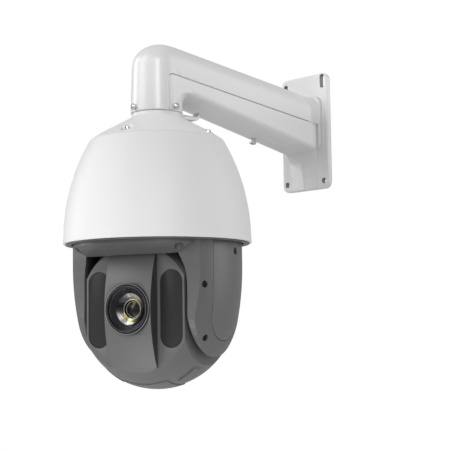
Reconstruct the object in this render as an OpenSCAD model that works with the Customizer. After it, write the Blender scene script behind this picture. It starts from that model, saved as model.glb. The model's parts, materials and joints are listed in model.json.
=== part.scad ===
// Outdoor speed dome camera hanging from a wall bracket.
// The origin is the centre of the wall plate's four fixings, on the wall plane.
// +Z is up, and the arm reaches to -Y.

/* [Bracket] */
// Distance from the wall to the pan axis
reach = 273; // [262:1:300]
// Height of the plate's centre above the dome's rim
rim_drop = 162.5; // [160:0.5:166]
// Width of the wall plate
plate_w = 81; // [80:1:90]
// Height of the wall plate
plate_h = 156; // [154:1:170]
// Thickness of the wall plate
plate_t = 8; // [7:0.5:10]
// Sideways distance between the wall fixings
bolt_dx = 65; // [62:0.5:66]
// Upright distance between the wall fixings
bolt_dz = 135; // [132:0.5:137]
// Diameter of the wall fixing holes
bolt_d = 6.5; // [5:0.5:7]
// End-to-end length of the hanging slot
slot_len = 20; // [16:1:22]
// Slope of the arm down to the wall, in degrees
arm_slope = 6.4; // [6:0.1:7]
// Half width of the arm
arm_r = 29.2; // [28.8:0.1:29.6]
// Outer radius of the bracket's neck
neck_skin_r = 31; // [30.8:0.1:32]
// Wall thickness of the castings
wall = 3.5; // [3:0.5:4]

/* [Dome] */
// Radius of the dome's rim
dome_r = 110; // [109.5:0.1:112]
// Wall thickness of the dome's shell
shell_t = 3; // [2.5:0.5:3]
// Height of the shell's top corner above the rim
shell_h = 121; // [119:1:123]
// Radius of the shell's top corner
shell_top_r = 79.5; // [78:0.5:82]
// Height of the cap's top above the rim
cap_top = 154; // [153:0.5:155]
// Radius of the dome's neck tube
tube_r = 23.9; // [23.5:0.1:24]

/* [Head] */
// Outer radius of the turning yoke
yoke_r = 99; // [98:0.5:99.5]
// Direction of the lens at rest, in degrees from straight away from the wall
pan_rest = 19; // [0:1:45]
// Height of the tilt axis, from the rim
tilt_z = -77; // [-80:1:-76]
// Radius of the ball
ball_r = 90; // [89:0.5:90]
// Half width of the ball between its flat sides
ball_hw = 64; // [62:0.5:64.5]
// Distance of the two lamp faces in front of the tilt axis
face_v = 56; // [54:0.5:57]
// Distance of the lens band in front of the tilt axis
band_v = 69.5; // [67:0.5:71]

/* [Gears] */
// Module of the gear teeth
gear_m = 1; // [1:1:1]
// Teeth on the pan ring gear
pan_teeth = 120; // [120:1:120]
// Teeth on the pan motor's pinion
pan_pinion_teeth = 20; // [20:1:20]
// Teeth on the tilt gear
tilt_teeth = 66; // [66:1:66]
// Teeth on the tilt motor's pinion
tilt_pinion_teeth = 18; // [18:1:18]

/* [Hidden] */
$fn = 64;
gap = 0.3;
arm_z = 49.5;
arm_seam = -12.5;
elbow_r = 28.9;
arm_len = reach / cos(arm_slope);
flange_t = 8;
flange_z = 10;
seam_y = -6;
cover_top = -12.8;
cover_near = -27.8;
cover_far = -48;
bolt_x = bolt_dx / 2;
bolt_z = bolt_dz / 2;
neck_bottom = 155;
tube_top = 183;
ring_in_r = 100.7;
plate_z = [22, 25];
deck_z = [9, 13];
pan_gear_z = [13.02, 18];
hub_r = 20;
hub_bore_r = 14;
neck_screw_az = [-5, 93, 205, 273];
neck_screw_z = 160;
cover_screw_at = [-18, 178, 0];
screw_az = [19, 109, 199, 289];
cap_screw_at = 68;
post_az = [64, 154, 244, 334];
post_at_r = 62;
board_z = 91;
chin_v = 60.5;
chin_low = -16;
chin_hw = 59;
chin_screw = [65, 67];
sweep_r = 85.4;
top_r = 84;
low_cut = -72;
band_hw = 30;
band_arc = 136;
bezel_v = 44;
skin = 3.5;
ear_in = 66.5;
ear_end_r = 54.5;
ear_front = 53;
side_arc = 350;
side_from = -25;
foot_from = -92;
foot_arc = 104;
window_u = 47.3;
window_r = 14.1;
window_h = 43.3;
shaft_r = 8;
lens_bore = 24.2;
pan_motor_dir = 190;
pan_motor_at = (pan_teeth + pan_pinion_teeth) * gear_m / 2;
tilt_motor_up = (tilt_teeth + tilt_pinion_teeth) * gear_m / 2;
rod_at = 21;

// ---------- placement ----------

module at_dome() translate([0, -reach, -rim_drop]) children();
module at_head() at_dome() rotate([0, 0, pan_rest]) children();
module at_ball() at_head() translate([0, 0, tilt_z]) children();
module in_arm() translate([0, -reach, arm_z]) rotate([-arm_slope, 0, 0]) children();
module along_x(x) translate([x, 0, 0]) rotate([0, 90, 0]) children();
module facing_front(v) translate([0, -v, 0]) rotate([90, 0, 0]) children();
module both_sides() {
    children();
    mirror([1, 0, 0]) children();
}
module around(angles, r) for (a = angles) rotate([0, 0, a - 90]) translate([r, 0, 0]) children();

// ---------- shapes ----------

function arc(cx, cy, r, a0, a1, n) = [for (i = [0 : n]) let (a = a0 + (a1 - a0) * i / n)
    [cx + r * cos(a), cy + r * sin(a)]];

function round_rect(w, h, r) = concat(
    arc(w / 2 - r, h / 2 - r, r, 0, 90, 6), arc(-w / 2 + r, h / 2 - r, r, 90, 180, 6),
    arc(-w / 2 + r, -h / 2 + r, r, 180, 270, 6), arc(w / 2 - r, -h / 2 + r, r, 270, 360, 6));

// Outline of an arch: a half circle on two straight legs
function arch(r, leg) = concat(arc(0, 0, r, 0, 180, 24), [[-r, leg], [r, leg]]);

// Outline of a slot or stadium standing upright
function stadium(r, half) = concat(arc(0, half - r, r, 0, 180, 16), arc(0, r - half, r, 180, 360, 16));

// One spur gear, bored through, with trapezoid teeth
module gear(teeth, thick, bore, lead = 0) {
    pitch = teeth * gear_m / 2;
    root = pitch - 1.2 * gear_m;
    tip = pitch + 0.9 * gear_m;
    step = 360 / teeth;
    linear_extrude(thick) difference() {
        polygon([for (i = [0 : teeth - 1]) for (p = [[-0.33, root], [-0.12, tip], [0.12, tip], [0.33, root]])
            let (a = (i + p[0]) * step + lead) [p[1] * cos(a), p[1] * sin(a)]]);
        circle(bore);
    }
}

module tube(r_out, r_in, h) difference() {
    cylinder(r = r_out, h = h);
    translate([0, 0, -1]) cylinder(r = r_in, h = h + 2);
}

// Button-head screw lying on the plane z = 0, with a hexagon socket
module screw(head_r, head_h, socket) difference() {
    cylinder(r = head_r, h = head_h);
    translate([0, 0, head_h / 2]) cylinder(r = socket, h = head_h, $fn = 6);
}

// ---------- wall bracket ----------

module plate_outline() rotate([90, 0, 0]) linear_extrude(plate_t) polygon(round_rect(plate_w, plate_h, 9));

module wall_holes() rotate([90, 0, 0]) translate([0, 0, -1]) {
    for (p = [[-1, -1], [1, -1], [-1, 1]])
        translate([p[0] * bolt_x, p[1] * bolt_z, 0]) cylinder(d = bolt_d, h = plate_t + 2);
    translate([bolt_x, bolt_z, 0]) linear_extrude(plate_t + 2) polygon(stadium(bolt_d / 2, slot_len / 2));
}

module arm_tube() in_arm() rotate([-90, 0, 0]) rotate([0, 0, 180])
    linear_extrude(arm_len - 6) mirror([1, 0]) polygon(arch(arm_r, arm_seam));

module arm_bore() in_arm() translate([0, -2, 0]) rotate([-90, 0, 0]) rotate([0, 0, 180])
    linear_extrude(arm_len + 20) mirror([1, 0]) polygon(arch(arm_r - wall, arm_seam - 1));

module flange() translate([0, -plate_t + 0.5, flange_z]) rotate([90, 0, 0])
    linear_extrude(flange_t + 0.5) polygon(round_rect(66, 74, 12));

module flange_bore() translate([0, 1, 25]) rotate([90, 0, 0])
    linear_extrude(plate_t + 6) polygon(round_rect(48, 40, 10));

// Keel under the flange: a ridge that fades into the foot of the plate
module gusset() hull() {
    translate([0, 0, -28.2]) linear_extrude(1)
        polygon([[-28, -plate_t + 1], [-26, -17.5], [0, -22], [26, -17.5], [28, -plate_t + 1]]);
    translate([0, 0, -77]) linear_extrude(1)
        polygon([[-23, -plate_t + 1], [-21, -13], [0, -14], [21, -13], [23, -plate_t + 1]]);
}

module neck_outside() at_dome() {
    neck_cone();
    translate([0, 0, arm_z + rim_drop]) sphere(elbow_r);
}

module neck_cone() translate([0, 0, neck_bottom])
    cylinder(r1 = neck_skin_r, r2 = elbow_r + 0.05, h = arm_z + rim_drop - neck_bottom);

module neck_inside() at_dome() {
    translate([0, 0, neck_bottom - 1]) cylinder(r = tube_r + 0.25, h = 42);
    translate([0, 0, neck_bottom + 40]) cylinder(r = elbow_r - wall, h = arm_z + rim_drop - neck_bottom - 40);
    translate([0, 0, arm_z + rim_drop]) sphere(elbow_r - wall);
}

// Everything behind the seam on the neck and below the seam on the arm, which the arm cover closes
module behind_seam(top, near) intersection() {
    in_arm() translate([-40, -40, -80]) cube([80, 100, 80 + top]);
    at_dome() translate([-40, near, neck_bottom - 5]) cube([80, 54, 100]);
}

module neck_back() difference() {
    behind_seam(arm_seam, seam_y);
    at_dome() translate([0, 0, neck_bottom - 6]) cylinder(r = 26.6, h = 46);
}

module neck_screw_holes() at_dome() around(neck_screw_az, 20)
    translate([0, 0, neck_screw_z]) rotate([0, 90, 0]) cylinder(r = 2.6, h = 20);

module wall_bracket() color("white") difference() {
    union() {
        difference() {
            union() {
                arm_tube();
                neck_outside();
                flange();
                gusset();
            }
            neck_back();
            neck_inside();
            arm_bore();
        }
        plate_outline();
    }
    flange_bore();
    wall_holes();
    translate([-60, 0, -100]) cube([120, 20, 200]);
    neck_screw_holes();
}

module cover_side(inset, top) polygon([[12, top], [arm_len - 17.5, top],
    [arm_len - 17.5, cover_far + inset], [12, cover_near + inset - 0.5]]);

module arm_cover() color("whitesmoke") difference() {
    union() {
        in_arm() rotate([90, 0, 90]) translate([0, 0, -arm_r]) linear_extrude(2 * arm_r)
            cover_side(0, cover_top);
        intersection() {
            at_dome() neck_cone();
            behind_seam(cover_top, seam_y + gap);
        }
    }
    in_arm() rotate([90, 0, 90]) translate([0, 0, -arm_r + 3]) linear_extrude(2 * arm_r - 6)
        polygon([[33, 0], [arm_len, 0], [arm_len, cover_far + 3.4], [33, cover_near + 2]]);
    at_dome() translate([0, 0, neck_bottom - 1]) cylinder(r = 26.6 + gap, h = 70);
    under_arm() translate([-12, 168, -1]) cube([24, 58, 1.8]);
    under_arm() translate(cover_screw_at) translate([0, 0, -1]) cylinder(r = 2.3, h = 20);
    neck_screw_holes();
}

// Frame on the arm cover's underside: z = 0 is the surface, and y runs to the wall
module under_arm() in_arm() translate([0, 12, cover_near - 0.5])
    rotate([-atan((cover_near - cover_far - 0.5) / (arm_len - 29.5)), 0, 0]) children();

module access_hatch() color("gainsboro") under_arm() translate([-11.8, 168.2, -0.4]) cube([23.6, 57.6, 1.1]);

module cover_screw() color("silver") under_arm() translate(cover_screw_at) mirror([0, 0, 1]) {
    translate([0, 0, 0.05]) cylinder(r = 3, h = 4.55);
    translate([0, 0, 4.5]) screw(4.6, 2.6, 1.9);
    translate([0, 0, -8]) cylinder(r = 2.2, h = 8.1);
}

module neck_screws() color("silver") at_dome() around(neck_screw_az, tube_r + 0.3)
    translate([0, 0, neck_screw_z]) rotate([0, 90, 0]) {
        cylinder(r = 2.5, h = neck_skin_r - tube_r + 0.1);
        translate([0, 0, neck_skin_r - tube_r - 0.2]) cylinder(r = 3, h = 2.3);
        translate([0, 0, neck_skin_r - tube_r + 2]) screw(3.8, 3.2, 1.9);
    }

// Side view of the hook: a flat bar from under the neck, with its end turned up
hook_line = [[30.1, 151], [33, 151.2], [38, 153], [56, 153.2], [62, 154.5], [66, 158], [67, 163.5],
    [64, 164.5], [62, 160], [58, 158.8], [31.4, 158.8], [31.4, 154.7], [30.1, 154.7]];

module lanyard_hook() color("lightgray") at_dome() translate([-5, 0, 0]) rotate([90, 0, 90]) linear_extrude(10)
    polygon(hook_line);

// ---------- dome housing ----------

module neck_tube() color("silver") at_dome() {
    translate([0, 0, cap_top - 14]) tube(tube_r, 19, tube_top - cap_top + 14);
    translate([0, 0, cap_top - 14.5]) tube(30, 19, 2);
}

// Side view of the cap's slope, from the shell up to the collar under the neck
cap_line = [[shell_top_r, shell_h + 0.6], [67, 129.6], [50, 138.8], [33, 148.2], [29.8, 150.6],
    [29.3, cap_top]];

module dome_cap() color("gainsboro") at_dome() difference() {
    rotate_extrude() polygon(concat([[tube_r + 0.1, cap_top]], [for (i = [5 : -1 : 0]) cap_line[i]],
        [[58, shell_h + 0.6], [58, 129.6], [48, 134.6], [31, 141.8], [tube_r + 0.1, 143.5]]));
    around(screw_az, cap_screw_at) cylinder(r = 2.6, h = 160);
    around(screw_az, cap_screw_at) translate([0, 0, 124.5]) cylinder(r = 6, h = 20);
}

module cap_gasket() color("dimgray") at_dome() difference() {
    translate([0, 0, shell_h]) tube(78, 60, 0.6);
    around(screw_az, cap_screw_at) cylinder(r = 2.6, h = 160);
}

module cap_screws() color("silver") at_dome() around(screw_az, cap_screw_at) {
    translate([0, 0, 124.55]) screw(3.2, 5.6, 1.6);
    translate([0, 0, 117.5]) cylinder(r = 2.3, h = 7.1);
}

shell_arc_r = (pow(shell_h - 5, 2) + pow(dome_r - shell_top_r, 2)) / 2 / (dome_r - shell_top_r);
function shell_line(inset) = [for (i = [0 : 20]) let (z = 5 + (shell_h - 5) * i / 20)
    [dome_r - shell_arc_r + sqrt(pow(shell_arc_r, 2) - pow(z - 5, 2)) - inset, z]];

module dome_shell() color("white") at_dome() difference() {
    rotate_extrude() polygon(concat([[dome_r, 0]], shell_line(0), [[60, shell_h], [60, shell_h - 3]],
        [for (i = [19 : -1 : 0]) shell_line(shell_t)[i]], [[dome_r - shell_t, 0]]));
    around(screw_az, cap_screw_at) cylinder(r = 2.6, h = 160);
}

module shell_seal() color("black") at_dome() translate([0, 0, 0.6]) tube(dome_r - shell_t - 0.1, 105.5, 3);

module rim_ring() color("dimgray") at_dome() rotate_extrude()
    polygon([[ring_in_r, -1.4], [107.6, -1.4], [107.6, -0.4], [105.4, -0.4], [105.4, 3.8], [106, 3.8],
        [106, plate_z[0]], [103.5, plate_z[0]], [103.5, 5], [ring_in_r, 5]]);

module base_plate() color("silver") at_dome() difference() {
    union() {
        translate([0, 0, plate_z[0]]) cylinder(r = 105.6, h = plate_z[1] - plate_z[0]);
        translate([0, 0, plate_z[0] - 2]) cylinder(r = 36, h = 12);
    }
    translate([0, 0, plate_z[0] - 3]) cylinder(r = 32, h = 14);
    rotate([0, 0, pan_motor_dir]) translate([pan_motor_at, 0, 0]) cylinder(r = 12, h = 30);
}

module base_posts() color("silver") at_dome() around(post_az, post_at_r)
    translate([0, 0, plate_z[1]]) cylinder(r = 3.5, h = board_z - plate_z[1], $fn = 6);

module main_board() color("darkgreen") at_dome() {
    translate([0, 0, board_z]) tube(67, 26, 1.6);
    for (a = [0 : 60 : 300]) rotate([0, 0, a]) translate([34, -8, board_z + 1.6]) cube([16, 16, 3 + a / 100]);
}

module slip_ring() color("dimgray") at_dome() {
    translate([0, 0, 46]) tube(22, 9, 36);
    translate([0, 0, 44]) tube(30, 9, 2);
    for (a = [0 : 120 : 240]) rotate([0, 0, a]) translate([34, 0, plate_z[0] + 10]) cylinder(r = 1.8, h = 12);
    for (a = [0 : 120 : 240]) rotate([0, 0, a]) translate([28, -2, 44]) cube([8, 4, 2]);
}

module pan_motor() color("slategray") at_dome() rotate([0, 0, pan_motor_dir])
    translate([pan_motor_at, 0, plate_z[1]]) {
    translate([-17.5, -17.5, 0]) cube([35, 35, 30]);
    translate([0, 0, -1.5]) cylinder(r = 11, h = 1.5);
}

module pan_pinion() color("khaki") at_dome() rotate([0, 0, pan_motor_dir])
    translate([pan_motor_at, 0, pan_gear_z[0] + 0.6]) {
    rotate([0, 0, 180]) gear(pan_pinion_teeth, 4.4, 2.4, 180 / pan_pinion_teeth);
    cylinder(r = 2.5, h = plate_z[1] - pan_gear_z[0] - 2.4);
}

module pan_bearing_outer() color("silver") at_dome() translate([0, 0, plate_z[0] - 1]) tube(32, 27.5, 9);

module pan_bearing_balls() color("gainsboro") at_dome() for (a = [0 : 24 : 336])
    rotate([0, 0, a]) translate([25.4, 0, plate_z[0] + 3.5]) sphere(1.8, $fn = 24);

// ---------- turning yoke ----------

// Solid that the whole yoke is cut from: a drum that tapers towards the ball
function yoke_at(z) = yoke_r - side_arc + sqrt(side_arc * side_arc - pow(z - side_from, 2))
    - pow(max(0, foot_from - z), 2) / 2 / foot_arc;
function yoke_lean(z) = asin((side_from - z) / side_arc) + atan(max(0, foot_from - z) / foot_arc);
yoke_line = concat([[yoke_r, deck_z[1]], [yoke_r, side_from]],
    [for (i = [1 : 14]) let (z = side_from - i * 7) [yoke_at(z), z]],
    [[yoke_at(-136), -136]]);
module yoke_drum(inset = 0) rotate_extrude()
    polygon(concat([for (p = yoke_line) [p[0] - inset, p[1]]], [[0, -136], [0, deck_z[1]]]));

// Side view of an arm: straight front and back, and a round end about the tilt axis
ear_outline = concat(
    [[-chin_v + 0.5, deck_z[0] + 1], [-chin_v + 0.5, -14], [-ear_front - 2, -36], [-ear_front, -60]],
    arc(0, tilt_z, ear_end_r, 186, 354, 24),
    [[ear_front, -60], [ear_front + 2, -36], [chin_v - 0.5, -14], [chin_v - 0.5, deck_z[0] + 1]]);

module ear_block(outline, x0, x1) translate([x0, 0, 0]) rotate([90, 0, 90])
    linear_extrude(x1 - x0) polygon(outline);

// Window in the outer skin that a side cover closes
function cover_window(g) = let (w = 37 + g, low = tilt_z - 37 - g, r = 32) concat([[-w, -2 + g], [-w, low + r]],
    arc(-w + r, low + r, r, 180, 270, 8), arc(w - r, low + r, r, 270, 360, 8), [[w, -2 + g]]);

module yoke_arm() difference() {
    intersection() {
        yoke_drum();
        ear_block(ear_outline, ear_in, 110);
    }
    ear_block(cover_window(0), ear_in + skin, 120);
    along_x(ear_in - 1) translate([-tilt_z, 0, 0]) cylinder(r = 14, h = skin + 2);
    at_side_screws() translate([0, 0, -3.3]) cylinder(r = 3.9, h = 6);
}

module yoke_frame() color("dimgray") at_head() difference() {
    union() {
        translate([0, 0, deck_z[0]]) cylinder(r = yoke_r, h = deck_z[1] - deck_z[0]);
        yoke_arm();
        mirror([1, 0, 0]) yoke_arm();
    }
    cylinder(r = hub_bore_r, h = 40);
}

module pan_hub() color("silver") at_head() translate([0, 0, deck_z[1]]) {
    tube(hub_r, hub_bore_r, 18);
    translate([0, 0, 5]) tube(23.2, hub_r - 0.01, 9);
}

module pan_gear() color("khaki") at_head()
    translate([0, 0, pan_gear_z[0]]) rotate([0, 0, pan_motor_dir - pan_rest])
    gear(pan_teeth, pan_gear_z[1] - pan_gear_z[0], 45);

module slip_ring_rotor() color("goldenrod") at_head() {
    translate([0, 0, 33]) tube(8.4, 5, 46);
    translate([0, 0, deck_z[1] + 18.02]) tube(19, 5, 2);
}

// Soffit in front of the ball: it slopes from the drum's edge in to a straight lower edge
module chin_block() hull() {
    intersection() {
        translate([0, 0, -5]) cylinder(r = yoke_r - 0.2, h = 5 + deck_z[0] - 0.02, $fn = 96);
        translate([-90, -120, -6]) cube([180, 120 - chin_v, 30]);
    }
    translate([-chin_hw, -chin_v - 1.5, chin_low]) cube([2 * chin_hw, 1.5, 2]);
}
module chin() difference() {
    chin_block();
    along_x(-80) translate([-tilt_z, 0, 0]) cylinder(r = sweep_r, h = 160);
    both_sides() translate([chin_screw[0], -chin_screw[1], -20]) cylinder(r = 4.2, h = 16.5);
}

module front_chin() color("dimgray") at_head() chin();
module rear_chin() color("dimgray") at_head() rotate([0, 0, 180]) chin();

module chin_screws() color("gray") at_head() both_sides()
    translate([chin_screw[0], -chin_screw[1], -3.6]) mirror([0, 0, 1]) screw(3.5, 3, 1.6);

module side_cover() intersection() {
    difference() {
        yoke_drum();
        yoke_drum(3.2);
    }
    ear_block(cover_window(-gap), ear_in + 8, 110);
    translate([80, 5, -12]) rotate([90, 0, 90]) linear_extrude(30) difference() {
        square(400, center = true);
        circle(4);
    }
}
module side_cover_right() color("gray") at_head() side_cover();
module side_cover_left() color("gray") at_head() mirror([1, 0, 0]) side_cover();

// Two screws in each arm, in front of the side cover: direction from the lens, and height from the tilt axis
side_screws = [[61.5, 26], [66.5, -33]];
module at_side_screws() for (s = side_screws) rotate([0, 0, s[0] - 90])
    translate([yoke_at(tilt_z + s[1]), 0, tilt_z + s[1]])
        rotate([0, 90 + yoke_lean(tilt_z + s[1]), 0]) children();

module side_cover_screws() color("black") at_head() both_sides()
    at_side_screws() translate([0, 0, -3.2]) screw(3.3, 2, 1.5);

module tilt_bearings() color("silver") at_head() both_sides()
    along_x(ear_in) translate([-tilt_z, 0, 0]) tube(14, shaft_r + 0.05, skin);

module tilt_motor() color("slategray") at_head() translate([0, 0, tilt_z + tilt_motor_up]) {
    along_x(77) cylinder(r = 17, h = 13);
    along_x(ear_in + skin + 1) rotate([0, 0, 45]) translate([-22, -3, 6.4]) cube([44, 6, 1.6]);
}

module tilt_pinion() color("khaki") at_head() translate([0, 0, tilt_z + tilt_motor_up]) along_x(71) {
    gear(tilt_pinion_teeth, 4, 1.9, 180 / tilt_pinion_teeth);
    cylinder(r = 2, h = 5.9);
}

module drive_board() color("darkgreen") at_head() translate([-78, -24, -60]) {
    cube([1.6, 48, 50]);
    translate([-3, 6, 8]) cube([3, 14, 14]);
    translate([-4, 28, 20]) cube([4, 10, 18]);
}

// ---------- tilting ball ----------

module half_space_front(v) translate([-120, -200 - v, -120]) cube([240, 200, 240]);

// Round body with flat sides, and less reach over its top and back, where it passes the soffits
module ball_round(inset) intersection() {
    sphere(ball_r - inset);
    translate([-ball_hw + inset, -120, -120]) cube([2 * (ball_hw - inset), 240, 240]);
    union() {
        along_x(-100) cylinder(r = top_r - inset, h = 200);
        translate([-100, -120, -120]) cube([200, 240, 120 + low_cut]);
        translate([-100, -120, -120]) cube([200, 120, 120]);
    }
}

// Upright band around the lens, bowed outwards, between the two flat lamp faces
band_outline = concat([[0, -95]], [for (i = [-12 : 12]) let (z = i * 7.5)
    [-band_v + band_arc - sqrt(band_arc * band_arc - z * z), z]], [[0, 95]]);

module front_limit(inset) union() {
    translate([-120, -face_v + inset, -120]) cube([240, 240, 240]);
    translate([-band_hw + inset, inset, 0]) rotate([90, 0, 90]) linear_extrude(2 * (band_hw - inset))
        polygon(band_outline);
}

module ball_outside() intersection() {
    ball_round(0);
    front_limit(0);
}

module ball_inside() intersection() {
    ball_round(skin);
    front_limit(skin);
}

module window_pocket(g, depth) translate([window_u, -face_v + depth, 0]) rotate([90, 0, 0])
    linear_extrude(10) polygon(stadium(window_r + g, window_h + g));

module front_bezel() color("dimgray") at_ball() difference() {
    intersection() {
        ball_outside();
        half_space_front(bezel_v);
    }
    ball_inside();
    both_sides() window_pocket(gap, 5);
    facing_front(30) cylinder(r = lens_bore, h = 60);
    facing_front(band_v - 2.5) cylinder(r = 29.2, h = 60);
}

module ball_body() color("dimgray") at_ball() difference() {
    ball_outside();
    half_space_front(bezel_v - 1);
    ball_inside();
    along_x(-80) cylinder(r = shaft_r + 0.02, h = 160);
}

module bezel_seal() color("black") at_ball() difference() {
    intersection() {
        ball_round(0.8);
        front_limit(0.8);
        half_space_front(bezel_v - 0.95);
    }
    half_space_front(bezel_v - 0.05);
    ball_inside();
}

// Cover plate under the ball, with a round plug in it
module service_cover() color("gray") at_ball() {
    difference() {
        intersection() {
            sphere(ball_r + 0.9);
            translate([-29, -33, -120]) cube([58, 62, 120]);
        }
        sphere(ball_r + 0.05);
        ball_round(0);
    }
}

module ball_ribs() color("gray") at_ball() both_sides() difference() {
    intersection() {
        sphere(ball_r + 1.4);
        translate([37, -21, -120]) cube([23, 12, 60]);
    }
    sphere(ball_r + 0.05);
}

module tilt_shafts() color("silver") at_ball() both_sides() along_x(ball_hw - 6) {
    tube(shaft_r, 5, 19);
    tube(14, 5, 2.4);
}

module tilt_gear() color("khaki") at_ball() along_x(71) rotate([0, 0, 180]) gear(tilt_teeth, 4, shaft_r + 0.02);

module lamp_window() translate([window_u, -face_v + 3.4, 0]) rotate([90, 0, 0])
    linear_extrude(2.6) polygon(stadium(window_r, window_h));
module lamp_window_right() color([0.16, 0.16, 0.17]) at_ball() lamp_window();
module lamp_window_left() color([0.16, 0.16, 0.17]) at_ball() mirror([1, 0, 0]) lamp_window();

lamp_front = 46;
module lamp_boards() color("darkgreen") at_ball() both_sides()
    translate([window_u - 10, -lamp_front, -36]) cube([20, 1.6, 72]);

module lamp_lenses() color([0.8, 0.82, 0.86]) at_ball() both_sides() for (z = [-28 : 14 : 28])
    translate([window_u, -lamp_front - 0.05, z]) rotate([90, 0, 0]) cylinder(r1 = 5.6, r2 = 4.2, h = 4.5);

module heat_sink() color("silver") at_ball() both_sides() {
    translate([window_u - 10, -lamp_front + 1.65, -30]) cube([16, 3, 60]);
    for (z = [-27 : 9 : 27]) translate([window_u - 10, -lamp_front + 4.65, z - 1]) cube([12, 10, 2]);
}

// ---------- camera block ----------

module lens_ring() color([0.1, 0.1, 0.11]) at_ball() facing_front(band_v - 2.45) {
    tube(28.8, 24.5, 4.6);
    tube(28, 25.5, 5.6);
    tube(26.9, 24.5, 6.4);
}

module window_glass() color([0.3, 0.32, 0.4, 0.4]) at_ball()
    facing_front(band_v - 3.4) cylinder(r = 24.1, h = 2.2);

module lens_barrel() color("gray") at_ball() facing_front(12) {
    difference() {
        union() {
            cylinder(r = 19.4, h = 52.5);
            translate([0, 0, 44]) cylinder(r = 21.5, h = 3);
        }
        translate([0, 0, -1]) cylinder(r = 13.4, h = 45);
        translate([0, 0, 43]) cylinder(r1 = 13.4, r2 = 18.6, h = 9.6);
    }
}

module front_lens() color([0.5, 0.45, 0.3, 0.5]) at_ball() facing_front(12) intersection() {
    translate([0, 0, 38]) cylinder(r = 13.35, h = 9);
    translate([0, 0, 18]) sphere(28);
}

module camera_chassis() color([0.25, 0.26, 0.28]) at_ball() {
    for (v = [9, -40]) facing_front(v) difference() {
        translate([-25, -25, 0]) cube([50, 50, 3]);
        translate([0, 0, -1]) cylinder(r = 17.5, h = 5);
    }
    both_sides() translate([22.5, -9, -25]) cube([2.5, 46, 50]);
}

module guide_rods() color("silver") at_ball() for (s = [-1, 1])
    translate([s * 15, 0, s * 15]) facing_front(-37) cylinder(r = 1.2, h = 46);

module sensor_board() color("darkgreen") at_ball() facing_front(-45) {
    translate([-19, -19, 0]) cube([38, 38, 1.6]);
    translate([-6, -5, 1.6]) cube([12, 10, 1.2]);
}

// Lens cell that slides on the two rods
module lens_cell(v, len, glass_r) facing_front(v) {
    difference() {
        union() {
            cylinder(r = glass_r + 2.5, h = len);
            for (s = [-1, 1]) translate([s * 15, s * 15, 0]) cylinder(r = 3, h = 4);
            rotate([0, 0, 45]) translate([-19, -1.5, 0.5]) cube([38, 3, 3]);
        }
        translate([0, 0, -1]) cylinder(r = glass_r, h = len + 2);
        for (s = [-1, 1]) translate([s * 15, s * 15, -1]) cylinder(r = 1.25, h = 6);
    }
    translate([0, 0, len / 2 - 1.5]) cylinder(r = glass_r + 0.5, h = 3);
}

module zoom_group() color([0.2, 0.2, 0.22]) at_ball() lens_cell(-8, 10, 9);
module focus_group() color([0.3, 0.3, 0.33]) at_ball() lens_cell(-32, 8, 8);

module cut_filter() color([0.4, 0.6, 0.55, 0.7]) at_ball() facing_front(-41.8)
    translate([-7, -6, 0]) cube([22, 12, 1.2]);

wall_bracket();
arm_cover();
access_hatch();
cover_screw();
neck_screws();
lanyard_hook();
neck_tube();
dome_cap();
cap_gasket();
cap_screws();
dome_shell();
shell_seal();
rim_ring();
base_plate();
base_posts();
main_board();
slip_ring();
pan_motor();
pan_pinion();
pan_bearing_outer();
pan_bearing_balls();
yoke_frame();
pan_hub();
pan_gear();
slip_ring_rotor();
front_chin();
rear_chin();
chin_screws();
side_cover_left();
side_cover_right();
side_cover_screws();
tilt_bearings();
tilt_motor();
tilt_pinion();
drive_board();
ball_body();
front_bezel();
bezel_seal();
service_cover();
ball_ribs();
tilt_shafts();
tilt_gear();
lamp_window_left();
lamp_window_right();
lamp_boards();
lamp_lenses();
heat_sink();
lens_ring();
window_glass();
lens_barrel();
front_lens();
camera_chassis();
guide_rods();
sensor_board();
zoom_group();
focus_group();
cut_filter();
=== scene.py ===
"""Looks of the outdoor speed dome camera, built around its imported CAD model.

Shapes are cut in millimetres in the frame of their own sub-assembly, then placed in the row frame in metres.
Most are solids of revolution or pushed outlines, joined and cut by booleans, with their edges rounded after.
"""
import json
import math

import bmesh
import bpy
from mathutils import Matrix, Vector


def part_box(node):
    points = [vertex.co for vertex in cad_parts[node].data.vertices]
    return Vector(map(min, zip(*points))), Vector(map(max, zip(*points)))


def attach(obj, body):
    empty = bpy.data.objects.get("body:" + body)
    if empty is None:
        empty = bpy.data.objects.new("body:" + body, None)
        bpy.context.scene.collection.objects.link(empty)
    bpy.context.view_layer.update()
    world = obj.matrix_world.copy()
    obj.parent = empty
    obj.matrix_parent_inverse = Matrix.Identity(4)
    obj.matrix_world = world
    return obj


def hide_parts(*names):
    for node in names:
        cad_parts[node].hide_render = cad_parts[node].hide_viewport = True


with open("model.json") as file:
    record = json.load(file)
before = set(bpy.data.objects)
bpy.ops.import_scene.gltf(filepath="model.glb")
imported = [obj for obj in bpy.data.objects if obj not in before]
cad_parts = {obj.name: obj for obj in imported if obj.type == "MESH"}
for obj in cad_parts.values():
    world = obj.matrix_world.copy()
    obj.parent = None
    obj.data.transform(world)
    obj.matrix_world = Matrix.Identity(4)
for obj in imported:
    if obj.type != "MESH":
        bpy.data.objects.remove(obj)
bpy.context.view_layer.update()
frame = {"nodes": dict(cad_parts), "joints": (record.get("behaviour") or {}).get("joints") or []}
MM = 0.001

# ---------- frames of the sub-assemblies, in millimetres ----------

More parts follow.
